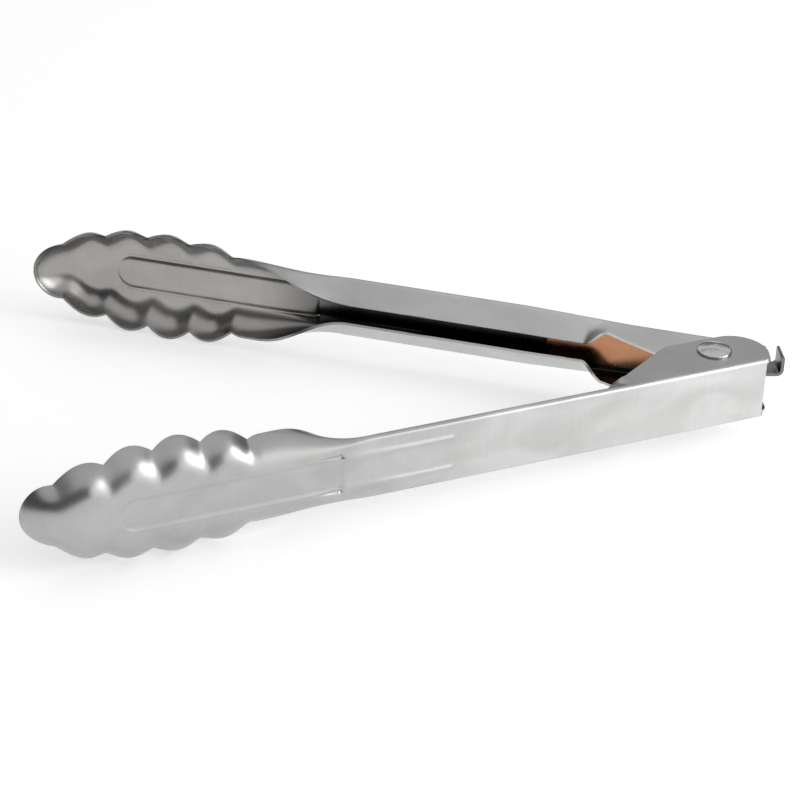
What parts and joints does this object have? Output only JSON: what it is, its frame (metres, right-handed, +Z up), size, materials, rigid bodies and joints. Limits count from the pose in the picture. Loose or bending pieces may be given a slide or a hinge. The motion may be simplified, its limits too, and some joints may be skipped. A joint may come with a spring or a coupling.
{
  "type": "spring loaded kitchen tongs",
  "caption": "Kitchen tongs: folded sheet arms on a rivet, scalloped spoon heads, a leaf spring that opens them and a sliding pull lock.",
  "frame": {"origin": "middle of the underside of the bounding box, with the tongs open and lying on their side as on a table", "axes": "+X from the heads to the pivot end, +Y from the outer arm to the inner arm, +Z up along the rivet"},
  "size_m": [0.2318, 0.1628, 0.0376],
  "materials": {
    "outer_arm_steel": "brushed along the arm",
    "inner_arm_steel": "brushed along the arm",
    "rivet_steel": "satin, formed head",
    "spring_copper": "coppered strip, satin",
    "lock_steel": "satin"
  },
  "bodies": {
    "outer": {"outer_arm": "outer_arm_steel", "pivot_rivet": "rivet_steel"},
    "inner": {"inner_arm": "inner_arm_steel"},
    "spring": {"flat_spring": "spring_copper"},
    "lock": {"lock_slide": "lock_steel"}
  },
  "joints": [
    {"name": "squeeze", "type": "hinge", "parent": "outer", "child": "inner", "pos_m": [0.0944, -0.00033, 0.01879], "axis": [0, 0, 1], "range_deg": [0, 39], "stiffness_Nm_per_rad": 0.9, "springref_deg": -20.05, "deforming": ["flat_spring"]},
    {"name": "spring_follow", "type": "hinge", "parent": "outer", "child": "spring", "pos_m": [0.0944, -0.00033, 0.01879], "axis": [0, 0, 1], "range_deg": [0, 20]},
    {"name": "lock_pull", "type": "slide", "parent": "spring", "child": "lock", "axis": [1, 0, 0], "range_m": [0, 0.005]}
  ],
  "couplings": [
    {"joint": "spring_follow", "follows": "squeeze", "ratio": 0.5}
  ]
}
